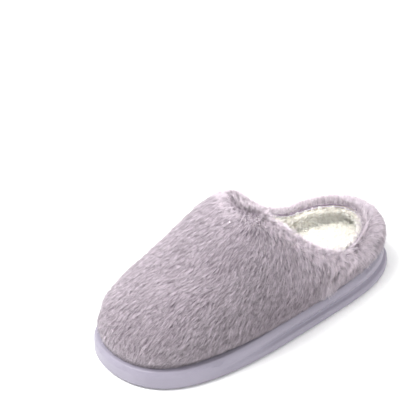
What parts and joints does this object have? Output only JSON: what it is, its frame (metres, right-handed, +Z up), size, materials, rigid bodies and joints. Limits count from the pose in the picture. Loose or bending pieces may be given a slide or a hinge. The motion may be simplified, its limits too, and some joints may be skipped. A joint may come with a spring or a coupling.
{
  "type": "closed-toe house slipper",
  "caption": "Left closed-toe house slipper: long-pile faux fur upper with a low padded heel collar, fleece lining and footbed, and a grooved foam sole.",
  "frame": {"origin": "on the floor, under the middle of the slipper's bounding box", "axes": "-Y towards the toe, +Y towards the heel, +X towards the outer side of the left foot, +Z up"},
  "size_m": [0.1112, 0.27, 0.1094],
  "materials": {
    "faux_fur": "long soft pile, mauve grey",
    "fleece": "short tufted pile, cream",
    "padding_foam": "open-cell foam, hidden",
    "sole_foam": "satin moulded foam, lavender",
    "insole_board": "stiff non-woven sheet, hidden",
    "counter_sheet": "thin stiffener sheet, hidden",
    "thread": "sewing thread",
    "label_satin": "white satin ribbon"
  },
  "bodies": {
    "root": {"outsole": "sole_foam", "strobel_board": "insole_board", "footbed_foam": "padding_foam", "footbed_cover": "fleece", "vamp_outer": "faux_fur", "heel_band_outer": "faux_fur", "vamp_foam": "padding_foam", "heel_band_foam": "padding_foam", "vamp_lining": "fleece", "heel_band_lining": "fleece", "heel_counter": "counter_sheet", "topline_thread": "thread", "side_seam_thread_outer": "thread", "side_seam_thread_inner": "thread", "strobel_thread": "thread", "size_label": "label_satin", "label_thread": "thread"}
  },
  "joints": []
}
